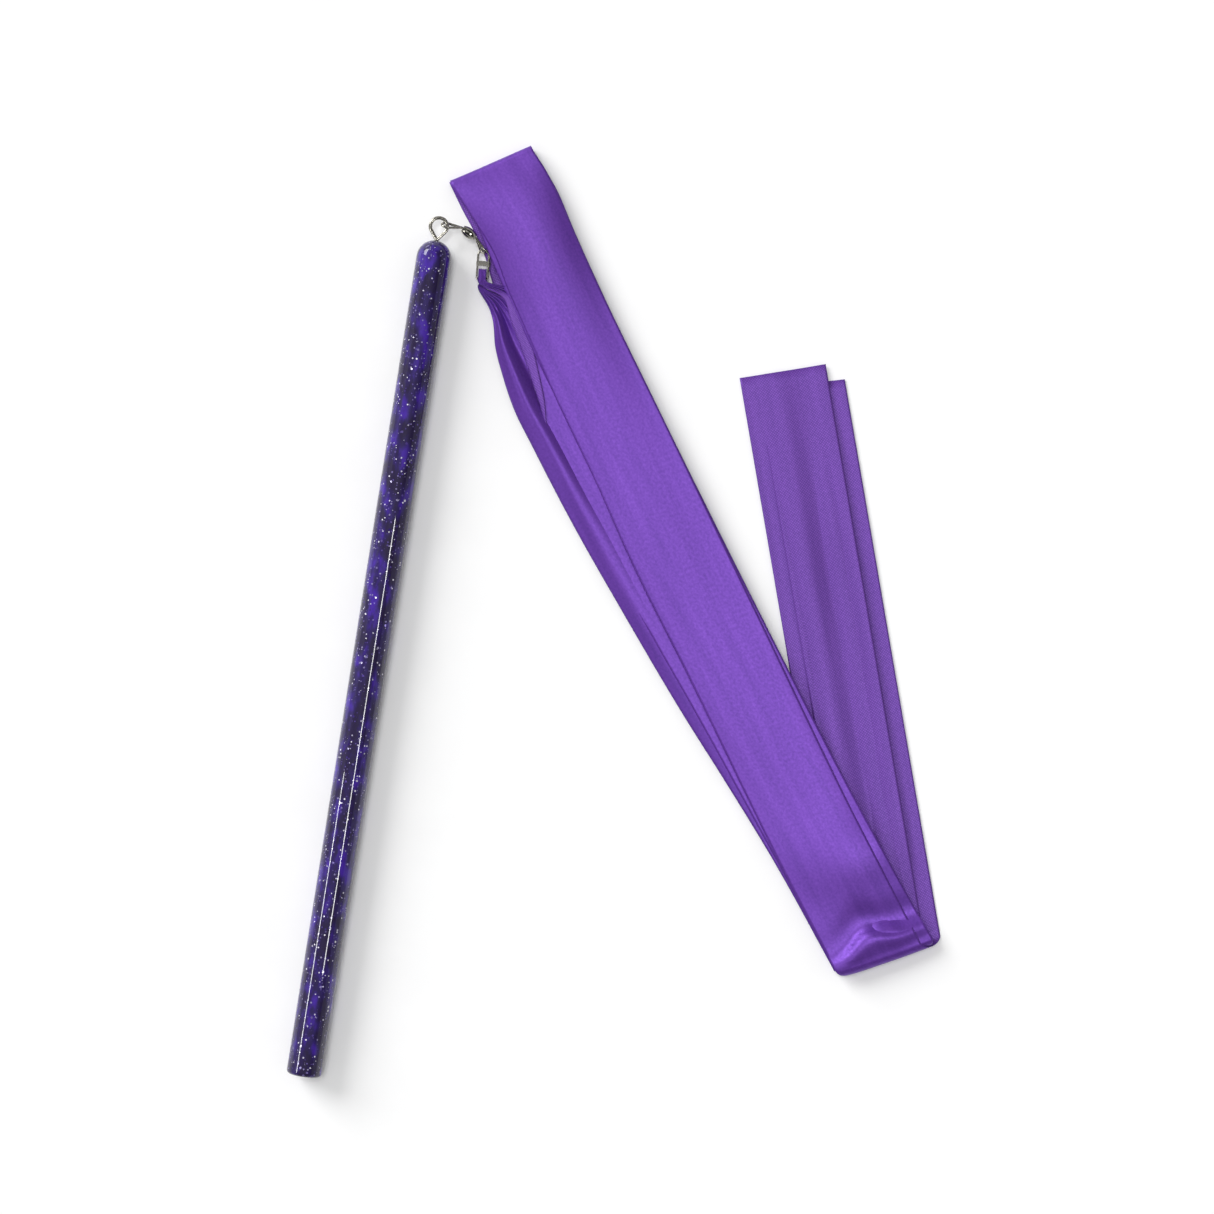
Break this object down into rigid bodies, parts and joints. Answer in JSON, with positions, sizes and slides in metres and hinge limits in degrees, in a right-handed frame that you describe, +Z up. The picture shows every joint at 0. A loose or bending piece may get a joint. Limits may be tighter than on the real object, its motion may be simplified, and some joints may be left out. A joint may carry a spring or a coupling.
{
  "type": "rhythmic ribbon wand",
  "caption": "Round glitter-filled grip rod with a screw eye, barrel swivel and snap carrying a doubled satin ribbon, folded flat beside the rod.",
  "frame": {"origin": "centre of the rod's flat butt face", "axes": "+Y along the rod to the screw eye, +Z up from the surface that the wand lies on"},
  "size_m": [0.2261, 0.3434, 0.0126],
  "materials": {
    "acrylic": "polished dark violet acrylic with fine glitter",
    "plated_wire": "bright nickel-plated wire",
    "plated_barrel": "bright nickel-plated barrel",
    "plated_sheet": "bright nickel-plated sheet",
    "satin": "single-face satin, glossy outside and matt inside"
  },
  "bodies": {
    "wand": {"rod": "acrylic", "screw_eye": "plated_wire"},
    "upper_eye": {"swivel_upper_eye": "plated_wire"},
    "barrel": {"swivel_barrel": "plated_barrel"},
    "lower_eye": {"swivel_lower_eye": "plated_wire"},
    "snap": {"snap_wire": "plated_wire", "snap_guard": "plated_sheet"},
    "arm": {"snap_arm": "plated_wire"},
    "ribbon": {"ribbon": "satin"}
  },
  "joints": [
    {"name": "upper_eye_slide", "type": "hinge", "parent": "wand", "child": "upper_eye", "pos_m": [0, 0.31145, 0], "axis": [0, 0, 1], "range_deg": [-25, 150]},
    {"name": "barrel_spin", "type": "hinge", "parent": "upper_eye", "child": "barrel", "pos_m": [0.011, 0.31095, -0.00165], "axis": [0.8797, -0.4482, -0.1586], "continuous": true},
    {"name": "lower_eye_spin", "type": "hinge", "parent": "upper_eye", "child": "lower_eye", "pos_m": [0.011, 0.31095, -0.00165], "axis": [0.8797, -0.4482, -0.1586], "range_deg": [-120, 120]},
    {"name": "snap_swing", "type": "hinge", "parent": "lower_eye", "child": "snap", "pos_m": [0.0175, 0.30475, -0.00265], "axis": [-0.3795, -0.2001, -0.9033], "range_deg": [-5, 25]},
    {"name": "snap_arm_open", "type": "hinge", "parent": "snap", "child": "arm", "pos_m": [0.01623, 0.29618, -0.0024], "axis": [0.173, 0.0144, 0.9848], "range_deg": [0, 35], "stiffness_Nm_per_rad": 0.004},
    {"name": "ribbon_tip", "type": "hinge", "parent": "snap", "child": "ribbon", "pos_m": [0.0183, 0.29505, -0.00275], "axis": [-0.9814, -0.0818, 0.1736], "range_deg": [0, 60]}
  ]
}
